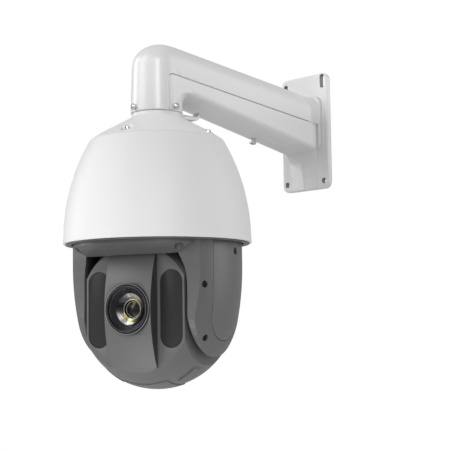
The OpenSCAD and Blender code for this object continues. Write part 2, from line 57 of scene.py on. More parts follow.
joints = {j["name"]: j for j in frame["joints"]}
shell_low, shell_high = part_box("dome_shell")
tilt_axis = Vector(joints["tilt"]["axis"])
turn = Matrix.Rotation(math.atan2(tilt_axis.y, tilt_axis.x), 4, "Z")
DOME = Matrix.Translation(Vector(((shell_low.x + shell_high.x) / 2, (shell_low.y + shell_high.y) / 2,
                                  shell_low.z)) / MM)
HEAD = DOME @ turn
BALL = Matrix.Translation(Vector(joints["tilt"]["pos_m"]) / MM) @ turn
PLATE = Matrix.Identity(4)
REACH = -DOME.translation.y
ARM_Z = 49.5
ARM_R = 29.2
ELBOW_R = 28.9
ARM_SLOPE = math.radians(6.4)
ARM = Matrix.Translation((0, -REACH, ARM_Z)) @ Matrix.Rotation(-ARM_SLOPE, 4, "X")
ARM_LEN = REACH / math.cos(ARM_SLOPE)
TILT_Z = BALL.translation.z - DOME.translation.z

# the wall plate and its fixings, whose holes a finish paints with shade too
PLATE_W, PLATE_H, PLATE_T, PLATE_CORNER = 81, 156, 8, 9
BOLT_X, BOLT_Z = 32.5, 67.5
HOLE_R = 3.4
SLOT_R, SLOT_HALF = 3.6, 9.2
HOLE_SHADE_R = 3.75

# ---------- camera, floor and light ----------

FOCUS = DOME.translation * MM
CAMERA_AT = Vector((0.9801, -1.1271, -0.2652))
HEADING, PITCH, ROLL = (math.radians(a) for a in (45.43, 5.47, -0.79))
SENSOR = 36
FOCAL = 88.55
FLOOR_Z = -1.2
FLOOR_R = 4
AMBIENT = 0.4

# name, azimuth, elevation, distance, width, height, power; a strip only adds its gleam, and no diffuse light
LAMPS = (("left", -20, 32, 2.2, 1.1, 1.6, 21), ("right", 138, 20, 2.2, 1.1, 2.0, 15),
         ("front", 42, 32, 2.6, 1.2, 1.4, 11), ("low_front", 18, -48, 0.75, 0.7, 0.5, 2.2),
         ("strip", 56, 20, 2.4, 0.16, 1.8, 34), ("left_strip", -66, 18, 2.4, 0.5, 1.8, 26))


def studio():
    forward = Vector((-math.sin(HEADING) * math.cos(PITCH), math.cos(HEADING) * math.cos(PITCH),
                      math.sin(PITCH)))
    side = forward.cross(Vector((0, 0, 1))).normalized()
    up = side.cross(forward)
    right = side * math.cos(ROLL) + up * math.sin(ROLL)
    top = up * math.cos(ROLL) - side * math.sin(ROLL)
    camera = bpy.data.objects.new("camera", bpy.data.cameras.new("camera"))
    camera.matrix_world = Matrix.Translation(CAMERA_AT) @ Matrix((right, top, -forward)).transposed().to_4x4()
    camera.data.sensor_width = SENSOR
    camera.data.lens = FOCAL
    bpy.context.scene.collection.objects.link(camera)
    bpy.context.scene.camera = camera

    mesh = bpy.data.meshes.new("floor")
    mesh.from_pydata([(FLOOR_R * math.cos(math.tau * k / 96), FLOOR_R * math.sin(math.tau * k / 96), FLOOR_Z)
                      for k in range(96)], [], [list(range(96))])
    floor = bpy.data.objects.new("floor", mesh)
    mesh.materials.append(plain("floor_paint", (0.93, 0.93, 0.92), 0.9))
    bpy.context.scene.collection.objects.link(floor)

    for name, azimuth, elevation, distance, width, height, power in LAMPS:
        light = bpy.data.lights.new(name, "AREA")
        light.shape = "RECTANGLE"
        light.size = width
        light.size_y = height
        light.energy = power
        a, e = math.radians(azimuth), math.radians(elevation)
        ob = bpy.data.objects.new(name, light)
        way = Vector((math.sin(a) * math.cos(e), -math.cos(a) * math.cos(e), math.sin(e)))
        ob.location = FOCUS + way * distance
        ob.rotation_euler = way.to_track_quat("Z", "Y").to_euler()
        ob.visible_diffuse = "strip" not in name
        bpy.context.scene.collection.objects.link(ob)
    world = bpy.data.worlds.new("studio")
    bpy.context.scene.world = world
    world.use_nodes = True
    tree = world.node_tree
    sky = tree.nodes["Background"]
    sky.inputs["Color"].default_value = (1, 1, 1, 1)
    rays = tree.nodes.new("ShaderNodeLightPath")
    level = tree.nodes.new("ShaderNodeMapRange")
    level.inputs["To Min"].default_value = AMBIENT
    level.inputs["To Max"].default_value = 1.0
    tree.links.new(rays.outputs["Is Camera Ray"], level.inputs["Value"])
    tree.links.new(level.outputs["Result"], sky.inputs["Strength"])
    bpy.context.scene.view_settings.view_transform = "Standard"


# ---------- materials ----------

DRIFT_SCALE = 6.0


def plain(name, colour, roughness, metal=0.0):
    material = bpy.data.materials.new(name)
    material.use_nodes = True
    shader = material.node_tree.nodes["Principled BSDF"]
    shader.inputs["Base Color"].default_value = (*colour, 1)
    shader.inputs["Roughness"].default_value = roughness
    shader.inputs["Metallic"].default_value = metal
    return material


def finish_node(name, colour, roughness, metal=0.0, vary=0.06, grain=700.0, bump=0.05, rough_vary=0.08,
                **sockets):
    """A finish with a slow drift of colour, a fine grain in its gloss, and a grain in its relief."""
    material = plain(name, colour, roughness, metal)
    tree = material.node_tree
    shader = tree.nodes["Principled BSDF"]
    for socket, value in sockets.items():
        shader.inputs[socket.replace("_", " ")].default_value = value
    where = tree.nodes.new("ShaderNodeTexCoord")

    def noise(scale, detail):
        node = tree.nodes.new("ShaderNodeTexNoise")
        node.inputs["Scale"].default_value = scale
        node.inputs["Detail"].default_value = detail
        tree.links.new(where.outputs["Object"], node.inputs["Vector"])
        return node

    slow = noise(DRIFT_SCALE, 3)
    ramp = tree.nodes.new("ShaderNodeValToRGB")
    ramp.color_ramp.elements[0].position = 0.3
    ramp.color_ramp.elements[1].position = 0.7
    ramp.color_ramp.elements[0].color = (*(c * (1 - vary) for c in colour), 1)
    ramp.color_ramp.elements[1].color = (*(min(1, c * (1 + vary)) for c in colour), 1)
    tree.links.new(slow.outputs["Fac"], ramp.inputs["Fac"])
    tree.links.new(ramp.outputs["Color"], shader.inputs["Base Color"])
    fine = noise(grain, 2)
    spread = tree.nodes.new("ShaderNodeMapRange")
    spread.inputs["To Min"].default_value = max(0, roughness - rough_vary)
    spread.inputs["To Max"].default_value = min(1, roughness + rough_vary)
    tree.links.new(fine.outputs["Fac"], spread.inputs["Value"])
    tree.links.new(spread.outputs["Result"], shader.inputs["Roughness"])
    relief = tree.nodes.new("ShaderNodeBump")
    relief.inputs["Strength"].default_value = bump
    relief.inputs["Distance"].default_value = 0.0004
    tree.links.new(fine.outputs["Fac"], relief.inputs["Height"])
    tree.links.new(relief.outputs["Normal"], shader.inputs["Normal"])
    return material


WHITE = finish_node("white_powder_coat", (0.79, 0.79, 0.80), 0.32, vary=0.012, bump=0.10, grain=900)
CAST_WHITE = finish_node("white_bracket_coat", (0.79, 0.79, 0.80), 0.32, vary=0.012, bump=0.10, grain=900)
SHELL_WHITE = finish_node("white_shell_moulding", (0.8, 0.8, 0.81), 0.5, vary=0.012, bump=0.08, grain=900,
                          Specular_IOR_Level=0.3)
CAP_WHITE = finish_node("white_cap_coat", (0.82, 0.82, 0.83), 0.42, vary=0.012, bump=0.12, grain=900)
DARK = finish_node("dark_grey_moulding", (0.116, 0.116, 0.118), 0.42, vary=0.03, bump=0.16, grain=1500)
# Painted shade: a darker copy of the dark grey for the soffits, which sit in shade under the rim.
SHADED_SOFFIT = finish_node("dark_grey_soffit_shaded", (0.092, 0.092, 0.094), 0.44, vary=0.03, bump=0.16, grain=1500)
BEZEL = finish_node("dark_grey_bezel", (0.116, 0.116, 0.118), 0.42, vary=0.03, bump=0.16, grain=1500)
DARK_LIGHT = finish_node("dark_grey_cover", (0.13, 0.13, 0.132), 0.40, vary=0.03, bump=0.14, grain=1500)
BLACK = finish_node("black_rubber", (0.012, 0.012, 0.013), 0.7, vary=0.1, bump=0.2, grain=1200)
WINDOW = finish_node("smoked_lamp_window", (0.034, 0.034, 0.035), 0.3, vary=0.03, bump=0.0, rough_vary=0.02,
                     Specular_IOR_Level=0.12)
STEEL = finish_node("stainless_steel", (0.62, 0.62, 0.61), 0.28, metal=1.0, vary=0.05, bump=0.12, grain=1400)
ZINC = finish_node("zinc_cast", (0.55, 0.55, 0.56), 0.45, metal=0.8, vary=0.06, bump=0.25, grain=1100)
ALU = finish_node("machined_aluminium", (0.6, 0.6, 0.61), 0.36, metal=1.0, vary=0.05, bump=0.12, grain=1600)
ACETAL = finish_node("gear_acetal", (0.6, 0.5, 0.3), 0.42, vary=0.05, bump=0.1, grain=1300)
BOARD = finish_node("board_green", (0.01, 0.09, 0.045), 0.45, vary=0.2, bump=0.3, grain=500)
MOTOR = finish_node("motor_grey", (0.12, 0.13, 0.15), 0.45, metal=0.5, vary=0.08, bump=0.15, grain=900)
LENS_BLACK = finish_node("lens_black", (0.012, 0.012, 0.014), 0.25, vary=0.1, bump=0.05, grain=1200)
LENS_RING = finish_node("lens_ribbed_ring", (0.018, 0.018, 0.019), 0.5, vary=0.05, bump=0.04, grain=1200,
                        Specular_IOR_Level=0.2)
LENS_SATIN = finish_node("lens_satin_shroud", (0.012, 0.013, 0.018), 0.36, vary=0.05, bump=0.05, grain=1200,
                         Specular_IOR_Level=0.3)
# Pale grey beads on the lens ring's rib crests stand in for the ribs' highlight lines: painted highlight.
RIB_HIGHLIGHT_PAINT = finish_node("lens_rib_painted_highlight", (0.42, 0.42, 0.44), 0.42, vary=0.05, bump=0.02, grain=1200)
BEAD_BRIGHT = finish_node("lens_front_bead", (0.75, 0.74, 0.68), 0.3, metal=0.8, vary=0.05, bump=0.02,
                          grain=1200)
COATED = finish_node("lens_coated_ring", (0.03, 0.03, 0.028), 0.2, metal=1.0, vary=0.04, bump=0.03,
                     grain=1200)
CLEAR = finish_node("clear_front_glass", (1, 1, 1), 0.02, vary=0.0, bump=0.0, rough_vary=0.01,
                    Transmission_Weight=1.0, IOR=1.1)
BLACK_STEEL = finish_node("black_oxide_steel", (0.03, 0.03, 0.032), 0.38, metal=0.6, vary=0.1, bump=0.1,
                          grain=1300)
STEEL_DARK = finish_node("dull_steel", (0.16, 0.16, 0.16), 0.4, metal=0.8, vary=0.1, bump=0.1, grain=1300)
LAMP_GLASS = finish_node("lamp_lens_clear", (0.75, 0.77, 0.8), 0.08, vary=0.02, bump=0.0, rough_vary=0.02,
                         Transmission_Weight=0.6, IOR=1.49)
BARREL = finish_node("barrel_satin_silver", (0.03, 0.03, 0.034), 0.2, metal=1.0, vary=0.03, bump=0.04,
                     grain=1200)
ELEMENT = finish_node("coated_front_element", (0.008, 0.007, 0.010), 0.05, vary=0.1, bump=0.0,
                      rough_vary=0.01, Specular_Tint=(1.0, 0.9, 0.55, 1), Specular_IOR_Level=0.25,
                      Coat_Weight=0.2, Coat_Roughness=0.03)
PALE_RUBBER = finish_node("pale_rubber", (0.5, 0.5, 0.5), 0.7, vary=0.05, bump=0.2, grain=1200)


def along(tree, place, axis):
    """Distance in millimetres along one axis of a sub-assembly's own frame."""
    way = place.to_3x3() @ Vector(axis)
    where = tree.nodes.new("ShaderNodeTexCoord")
    dot = tree.nodes.new("ShaderNodeVectorMath")
    dot.operation = "DOT_PRODUCT"
    dot.inputs[1].default_value = way / MM
    tree.links.new(where.outputs["Object"], dot.inputs[0])
    return reckon(tree, "SUBTRACT", dot.outputs["Value"], way.dot(place.translation))


def reckon(tree, operation, *terms):
    """One step of arithmetic in a finish, on numbers or on other nodes' results."""
    node = tree.nodes.new("ShaderNodeMath")
    node.operation = operation
    for socket, term in zip(node.inputs, terms):
        if isinstance(term, (int, float)):
            socket.default_value = term
        else:
            tree.links.new(term, socket)
    return node.outputs["Value"]


def tinted(material, mask, colour):
    """Turns a finish towards another colour where the mask is one."""
    tree = material.node_tree
    base = tree.nodes["Principled BSDF"].inputs["Base Color"]
    blend = tree.nodes.new("ShaderNodeMix")
    blend.data_type = "RGBA"
    tree.links.new(mask, blend.inputs["Factor"])
    tree.links.new(base.links[0].from_socket, blend.inputs["A"])
    blend.inputs["B"].default_value = (*colour, 1)
    tree.links.new(blend.outputs["Result"], base)


def paint_turned_gleam(material, sharp, colour):
    """Painted gleams of a turned cone: bright lobes in two opposite directions around the lens axis."""
    tree = material.node_tree
    u, z = along(tree, BALL, (1, 0, 0)), along(tree, BALL, (0, 0, 1))
    side = reckon(tree, "ADD", reckon(tree, "MULTIPLY", u, 0.5), reckon(tree, "MULTIPLY", z, 0.87))
    spread = reckon(tree, "ADD", reckon(tree, "MULTIPLY", u, u), reckon(tree, "MULTIPLY", z, z))
    share = reckon(tree, "DIVIDE", reckon(tree, "MULTIPLY", side, side), spread)
    tinted(material, reckon(tree, "POWER", share, sharp), colour)


def shaded_steps(material, edge, half, depth, colour):
    """Darkens the two upright side walls of the lens band, where little light falls."""
    tree = material.node_tree
    u, v = along(tree, BALL, (1, 0, 0)), along(tree, BALL, (0, -1, 0))
    wall = reckon(tree, "COMPARE", reckon(tree, "ABSOLUTE", u, 0), edge, half)
    tinted(material, reckon(tree, "MULTIPLY", wall, reckon(tree, "GREATER_THAN", v, depth)), colour)


def paint_hole_shade(material, colour):
    """Paints dark shade inside the wall plate's three round holes and its hanging slot."""
    tree = material.node_tree
    x, z = along(tree, PLATE, (1, 0, 0)), along(tree, PLATE, (0, 0, 1))
    across = reckon(tree, "SUBTRACT", reckon(tree, "ABSOLUTE", x, 0), BOLT_X)
    up = reckon(tree, "ABSOLUTE", reckon(tree, "SUBTRACT", reckon(tree, "ABSOLUTE", z, 0), BOLT_Z), 0)
    in_slot = reckon(tree, "MULTIPLY", reckon(tree, "GREATER_THAN", x, 0), reckon(tree, "GREATER_THAN", z, 0))
    past = reckon(tree, "MAXIMUM", reckon(tree, "SUBTRACT", up,
                                          reckon(tree, "MULTIPLY", in_slot, SLOT_HALF - SLOT_R)), 0)
    away = reckon(tree, "ADD", reckon(tree, "MULTIPLY", across, across), reckon(tree, "MULTIPLY", past, past))
    tinted(material, reckon(tree, "LESS_THAN", away, HOLE_SHADE_R ** 2), colour)


def paint_shade_toward_wall(material, colour):
    """Paints shade into the bracket's coat: a little greyer towards the wall and the underside, where less
    light falls.
    """
    tree = material.node_tree

    def rise(value, start, length):
        share = reckon(tree, "DIVIDE", reckon(tree, "SUBTRACT", value, start), length)
        return reckon(tree, "MINIMUM", reckon(tree, "MAXIMUM", share, 0), 1)

    y, down = along(tree, PLATE, (0, 1, 0)), along(tree, PLATE, (0, 0, -1))
    tinted(material, reckon(tree, "MULTIPLY", rise(y, start=-190, length=150),
                            rise(down, start=-45, length=40)), colour)


# Painted highlights: silver lobes on the lens barrel and gold lobes on the coated ring, in place of their
# reflections.
paint_turned_gleam(BARREL, sharp=2.2, colour=(0.85, 0.85, 0.86))
paint_turned_gleam(COATED, sharp=3.5, colour=(0.75, 0.68, 0.3))
# Painted shade: the bracket's and arm cover's white coats turn greyer towards the wall and underneath.
for coat in (CAST_WHITE, WHITE):
    paint_shade_toward_wall(coat, colour=(0.6, 0.6, 0.608))
# Painted shade inside the plate's three holes and its slot.
paint_hole_shade(CAST_WHITE, colour=(0.2, 0.2, 0.2))
shaded_steps(BEZEL, edge=30.8, half=0.95, depth=54.3, colour=(0.035, 0.035, 0.036))

studio()

# ---------- solids ----------

SLIVER = 0.02


def raw(mesh):
    """A loose solid that still waits for its name, its finish and its body."""
    ob = bpy.data.objects.new("raw", mesh)
    bpy.context.scene.collection.objects.link(ob)
    return ob


def solid(verts, faces, place=PLATE):
    mesh = bpy.data.meshes.new("raw")
    mesh.from_pydata([place @ Vector(v) for v in verts], [], faces)
    work = bmesh.new()
    work.from_mesh(mesh)
    bmesh.ops.recalc_face_normals(work, faces=work.faces)
    work.to_mesh(mesh)
    work.free()
    return raw(mesh)


def lathe(profile, steps=180, place=PLATE):
    """Solid of revolution about z from a closed loop of (radius, height)."""
    verts, rings = [], []
    for r, z in profile:
        count = steps if r > 1e-6 else 1
        rings.append([len(verts) + k for k in range(count)])
        verts += [(r * math.cos(math.tau * k / count), r * math.sin(math.tau * k / count), z)
                  for k in range(count)]
    faces = []
    for a, b in zip(rings, rings[1:] + rings[:1]):
        for k in range(steps):
            n = k + 1
            loop = [a[k % len(a)], a[n % len(a)], b[n % len(b)], b[k % len(b)]]
            loop = list(dict.fromkeys(loop))
            if len(loop) > 2:
                faces.append(loop)
    return solid(verts, faces, place)


def rod(r, low, high, steps, place=PLATE):
    return lathe([(0, low), (r, low), (r, high), (0, high)], steps, place)


def prism(outline, low, high, axis="z", place=PLATE):
    """Outline pushed along an axis. The outline's two numbers are the two other coordinates, in order."""
    at = {"x": lambda p, h: (h, p[0], p[1]),
          "y": lambda p, h: (p[0], h, p[1]),
          "z": lambda p, h: (p[0], p[1], h)}[axis]
    n = len(outline)
    verts = [at(p, low) for p in outline] + [at(p, high) for p in outline]
    faces = [list(range(n)), list(range(n, 2 * n))] + [[i, (i + 1) % n, n + (i + 1) % n, n + i]
                                                       for i in range(n)]
    return solid(verts, faces, place)


def block(x, y, z, place=PLATE):
    return prism([(x[0], y[0]), (x[1], y[0]), (x[1], y[1]), (x[0], y[1])], z[0], z[1], "z", place)


def hull(points, place=PLATE):
    work = bmesh.new()
    for p in points:
        work.verts.new(place @ Vector(p))
    out = bmesh.ops.convex_hull(work, input=work.verts)
    bmesh.ops.delete(work, geom=[g for g in out["geom_interior"] if isinstance(g, bmesh.types.BMVert)],
                     context="VERTS")
    bmesh.ops.recalc_face_normals(work, faces=work.faces)
    mesh = bpy.data.meshes.new("raw")
    work.to_mesh(mesh)
    work.free()
    return raw(mesh)


def arc(cx, cy, r, a0, a1, n):
    turns = (math.radians(a0 + (a1 - a0) * i / n) for i in range(n + 1))
    return [(cx + r * math.cos(a), cy + r * math.sin(a)) for a in turns]


def round_rect(w, h, r, cx=0, cy=0):
    x, y = w / 2 - r, h / 2 - r
    corners = ((x, y, 0), (-x, y, 90), (-x, -y, 180), (x, -y, 270))
    return [p for u, v, a in corners for p in arc(cx + u, cy + v, r, a, a + 90, 8)]


def stadium(r, half, cx=0, cy=0, n=20):
    """Outline with two straight sides and two half-round ends, from -half to half along its length."""
    return arc(cx, cy + half - r, r, 0, 180, n) + arc(cx, cy + r - half, r, 180, 360, n)


def soften(points, radii, n=5):
    """Closed outline with its corners rounded. A corner's radius of 0 leaves it sharp."""
    out = []
    count = len(points)
    for i, p in enumerate(points):
        r = radii[i] if isinstance(radii, (list, tuple)) else radii
        here = Vector(p)
        a, b = Vector(points[i - 1]) - here, Vector(points[(i + 1) % count]) - here
        if r <= 0 or a.length < 1e-6 or b.length < 1e-6:
            out.append(tuple(p))
            continue
        half = a.angle(b) / 2
        if half > math.radians(88) or half < math.radians(3):
            out.append(tuple(p))
            continue
        reach = min(r / math.tan(half), a.length * 0.48, b.length * 0.48)
        start, end = here + a.normalized() * reach, here + b.normalized() * reach
        for k in range(n + 1):
            t = k / n
            q = start * (1 - t) ** 2 + here * 2 * t * (1 - t) + end * t * t
            out.append((q.x, q.y))
    return out


def settle(ob):
    """Takes the modifiers' result as the mesh."""
    depsgraph = bpy.context.evaluated_depsgraph_get()
    depsgraph.update()
    mesh = bpy.data.meshes.new_from_object(ob.evaluated_get(depsgraph))
    ob.modifiers.clear()
    ob.data = mesh
    return ob


def combine(ob, tools, operation):
    for tool in tools:
        cut_by = ob.modifiers.new("cut", "BOOLEAN")
        cut_by.object = tool
        cut_by.operation = operation
        cut_by.solver = "MANIFOLD"
    settle(ob)
    for tool in tools:
        bpy.data.objects.remove(tool)
    return ob


def cut(ob, *tools):
    return combine(ob, tools, "DIFFERENCE")


def join(ob, *tools):
    return combine(ob, tools, "UNION")


def meet(ob, *tools):
    return combine(ob, tools, "INTERSECT")


def mirrored(ob, axis=(1, 0, 0)):
    """A second solid, mirrored along one axis, which is from side to side unless another is given."""
    mesh = ob.data.copy()
    mesh.transform(Matrix.Scale(-1, 4, axis))
    mesh.flip_normals()
    return raw(mesh)


def weld(ob):
    """Takes out the slivers that a boolean leaves."""
    work = bmesh.new()
    work.from_mesh(ob.data)
    bmesh.ops.remove_doubles(work, verts=work.verts, dist=SLIVER)
    bmesh.ops.dissolve_degenerate(work, edges=work.edges, dist=SLIVER)
    work.to_mesh(ob.data)
    work.free()
    return ob


def edges(ob, width, segments=2, angle=32):
    """Rounds every edge that is sharper than the angle."""
    weld(ob)
    rounding = ob.modifiers.new("round", "BEVEL")
    rounding.width = width
    rounding.segments = segments
    rounding.limit_method = "ANGLE"
    rounding.angle_limit = math.radians(angle)
    rounding.use_clamp_overlap = True
    rounding.miter_outer = "MITER_ARC"
    return settle(ob)


def cast(ob, voxel, passes, keep):
    """Rounds a whole casting. Its skin is rebuilt at the voxel's size, eased, and thinned."""
    skin = ob.modifiers.new("skin", "REMESH")
    skin.mode = "VOXEL"
    skin.voxel_size = voxel
    ease = ob.modifiers.new("ease", "SMOOTH")
    ease.factor = 0.5
    ease.iterations = passes
    thin = ob.modifiers.new("thin", "DECIMATE")
    thin.ratio = keep
    return settle(ob)


def merged(*obs):
    """Several solids in one mesh, each left whole."""
    first = obs[0]
    work = bmesh.new()
    for ob in obs:
        work.from_mesh(ob.data)
    work.to_mesh(first.data)
    work.free()
    for ob in obs[1:]:
        bpy.data.objects.remove(ob)
    return first


def piece(ob, name, body, material, slot, *nodes, place=PLATE, smooth=35):
    """Places a finished solid in the row frame, in metres, and on its body, in place of its CAD nodes."""
    ob.data.transform(Matrix.Scale(MM, 4) @ place)
    ob.name = name
    ob.data.name = name
    ob.data.materials.clear()
    ob.data.materials.append(material)
    ob.data.polygons.foreach_set("material_index", [0] * len(ob.data.polygons))
    ob.data.shade_smooth()
    ob.data.set_sharp_from_angle(angle=math.radians(smooth))
    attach(ob, body)
    if nodes:
        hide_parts(*nodes)
    return ob


def around(angle, r=0.0, z=0.0):
    """Frame at a direction counted from the front, anticlockwise from above, with x pointing outwards."""
    return Matrix.Rotation(math.radians(angle - 90), 4, "Z") @ Matrix.Translation((r, 0, z))


X90 = Matrix.Rotation(math.pi / 2, 4, "X")
Y90 = Matrix.Rotation(math.pi / 2, 4, "Y")


def screw(head_r, head_h, socket, shank_r, shank_h, place):
    """Button head with a hexagon socket, standing on z = 0, over its shank."""
    dome = [(head_r * math.cos(t), head_h * (0.35 + 0.65 * math.sin(t)))
            for t in (math.radians(a) for a in range(0, 70, 8))]
    head = lathe([(0, 0), (head_r * 0.94, 0), (head_r, head_h * 0.12)] + dome + [(0, head_h)], 40)
    key = [(socket * math.cos(math.radians(a)), socket * math.sin(math.radians(a)))
           for a in range(0, 360, 60)]
    cut(head, prism(key, head_h * 0.35, head_h + 2))
    edges(head, 0.12, 1, 40)
    shank = lathe([(0, 0.01), (shank_r, 0.01), (shank_r, -shank_h + 0.4), (shank_r - 0.4, -shank_h),
                   (0, -shank_h)], 24)
    done = merged(head, shank)
    done.data.transform(place)
    return done


# ---------- wall bracket ----------

TUBE_R = 23.9
NECK_R = 31
NECK_LOW = 155
ELBOW_Z = ARM_Z - DOME.translation.z
SEAM_Z = -12.5
COVER_NEAR = -27.8
COVER_FAR = -48
SEAM_Y = -6
NECK_SCREWS = (-5, 93, 205, 273)
NECK_SCREW_Z = 160
ELBOW_DROP = 1.2
ELBOW_LEAN = 8
BLEND_Y = 16


def arch(r, leg):
    return arc(0, 0, r, 0, 180, 40) + [(-r, leg), (r, leg)]


def behind_seam(top, near, corner):
    """Everything behind the neck's seam and under the arm's seam, with the seam's corner rounded."""
    def on_seam(y):
        return y, ELBOW_Z + top / math.cos(ARM_SLOPE) - y * math.tan(ARM_SLOPE)

    low = NECK_LOW - 5
    outline = soften([(near, low), on_seam(near), on_seam(near + 54), (near + 54, low)], [0, corner, 0, 0], 8)
    return prism(outline, -40, 40, "x", DOME)


def behind_seam_wide(top, near, corner):
    """The same as behind_seam, but out to the wall."""
    slope = math.tan(ARM_SLOPE)
    start = ELBOW_Z + top / math.cos(ARM_SLOPE)
    far = REACH - 10
    outline = soften([(near, 90), (near, start - near * slope), (far, start - far * slope), (far, 90)],
                     [0, corner, 0, 0], 8)
    return prism(outline, -60, 60, "x", DOME)


def neck_skin(r_low, r_high, top):
    return lathe([(0, NECK_LOW), (r_low, NECK_LOW), (r_high, top), (0, top)], 160, DOME)


# height, half width at the plate, half width in front, then how far the sides and the crest stand out
KEEL_RINGS = ((-26, 28, 27, -17, -22), (-32, 27, 26, -13.6, -18.4), (-40, 25.5, 24.5, -11.4, -15.6),
              (-50, 24, 23, -10.2, -13.4), (-63, 22.5, 21.5, -9.4, -11.6), (-77.5, 21, 20, -9, -10.6))


def wall_bracket():
    body = prism(arch(ARM_R, SEAM_Z), BLEND_Y, ARM_LEN - 6, "y", ARM)
    centre = ELBOW_Z - ELBOW_DROP
    crown = []
    for a in (math.tau * i / 96 for i in range(96)):
        for e in (math.pi / 2 * j / 24 for j in range(25)):
            crown.append(Vector((ELBOW_R * math.cos(a) * math.cos(e),
                                 ELBOW_R * math.sin(a) * math.cos(e) + ELBOW_LEAN * (1 - math.cos(e)),
                                 centre + ELBOW_R * math.sin(e))))
    to_dome = DOME.inverted() @ ARM
    blend = hull(crown + [to_dome @ Vector((x, BLEND_Y + 0.5, z)) for x, z in arch(ARM_R, SEAM_Z)], DOME)
    neck = neck_skin(NECK_R, ELBOW_R, centre + 0.5)
    flange = prism(round_rect(66, 74, 12, 0, 10), -15.2, -7, "y")
    flare = hull([(x * 0.9, -34, z) for x, z in round_rect(60, 60, 26, 0, 17)]
                 + [(x, -15.5, z) for x, z in round_rect(66, 68, 20, 0, 12.6)])
    meet(flare, block((-60, 60), (-60, 0), (SEAM_Z + 20, 90)))
    keel = loft([[(-foot, -7, z), (-half, side, z), (-1.2, ridge + 0.5, z), (0, ridge - 1, z),
                  (1.2, ridge + 0.5, z), (half, side, z), (foot, -7, z)]
                 for z, foot, half, side, ridge in KEEL_RINGS])
    join(body, blend, neck)
    join(body, flange, keel)
    join(body, flare)
    back = behind_seam(SEAM_Z, SEAM_Y, 7)
    cut(back, rod(26.6, 140, 195, 96, DOME))
    hollow = lathe([(0, 150), (TUBE_R + 0.25, 150), (TUBE_R + 0.25, 195), (25.4, 195), (25.4, ELBOW_Z),
                    (18, ELBOW_Z + 18), (0, ELBOW_Z + 24)], 96, DOME)
    cut(body, back, hollow)
    cut(body, prism(arch(ARM_R - 3.5, SEAM_Z - 1), 4, ARM_LEN + 20, "y", ARM))
    join(body, prism(round_rect(PLATE_W, PLATE_H, PLATE_CORNER), -PLATE_T, 0, "y"))
    holes = [rod(HOLE_R, -9, 9, 40, Matrix.Translation((x, 0, z)) @ X90)
             for x, z in ((-BOLT_X, -BOLT_Z), (BOLT_X, -BOLT_Z), (-BOLT_X, BOLT_Z))]
    slot_hole = prism(stadium(SLOT_R, SLOT_HALF, BOLT_X, BOLT_Z), -9, 9, "y")
    entry = prism(round_rect(48, 40, 10, 0, 25), -13, 2, "y")
    cut(body, *holes)
    cut(body, slot_hole, entry)
    cut(body, block((-80, 80), (0, 40), (-120, 120)))
    cast(body, 0.9, 4, 0.4)
    piece(body, "bracket_casting", "bracket", CAST_WHITE, "bracket_paint", "wall_bracket", smooth=50)


def arm_cover():
    far_low, near_low = COVER_FAR, COVER_NEAR
    ends = []
    for y, low in ((6, near_low - 0.3), (ARM_LEN - 11, far_low - 0.5)):
        corners = [(-ARM_R, low), (ARM_R, low), (ARM_R, SEAM_Z - 0.5), (-ARM_R, SEAM_Z - 0.5)]
        ends += [(x, y, z) for x, z in soften(corners, [7, 7, 0, 0], 8)]
    body = hull(ends, ARM)
    cut(body, prism([(-40, 100), (SEAM_Y + 0.5, 100), (SEAM_Y + 0.5, 300), (-40, 300)], -60, 60, "x", DOME))
    meet(body, behind_seam_wide(SEAM_Z - 0.5, SEAM_Y + 0.5, 6.5))
    neck = meet(neck_skin(NECK_R, ELBOW_R, ELBOW_Z), behind_seam(SEAM_Z - 0.5, SEAM_Y + 0.5, 6.5))
    join(body, neck)
    slope = -math.tan(ARM_SLOPE + math.atan2(near_low - far_low - 0.5, ARM_LEN - 29.5))
    reach = NECK_R + 11
    contact = 176.6
    fillet = lathe([(26, contact - 11), (NECK_R - 0.4, contact - 11)]
                   + arc(reach, contact - 11, 11, 180, 90, 10)
                   + [(reach, contact + 9), (26, contact + 9)], 160)
    shear = Matrix.Identity(4)
    shear[2][1] = slope
    fillet.data.transform(DOME @ Matrix.Translation((0, 0, -slope * reach)) @ shear)
    meet(fillet, block((-ARM_R, ARM_R), (4, 60), (100, 240), DOME))
    join(body, fillet)
    cut(body, prism([(33, 0), (ARM_LEN, 0), (ARM_LEN, far_low + 3.4), (33, near_low + 1)], -26, 26, "x", ARM))
    cut(body, rod(26.9, 140, 230, 96, DOME))
    cut(body, block((-50, 50), (-15.3, 10), (-120, 120)))
    cast(body, 0.9, 5, 0.4)
    piece(body, "arm_cover_casting", "bracket", WHITE, "bracket_paint", "arm_cover", smooth=50)


def under_arm():
    tilt = math.atan2(COVER_NEAR - COVER_FAR - 0.5, ARM_LEN - 29.5)
    return ARM @ Matrix.Translation((0, 12, COVER_NEAR - 0.5)) @ Matrix.Rotation(-tilt, 4, "X")


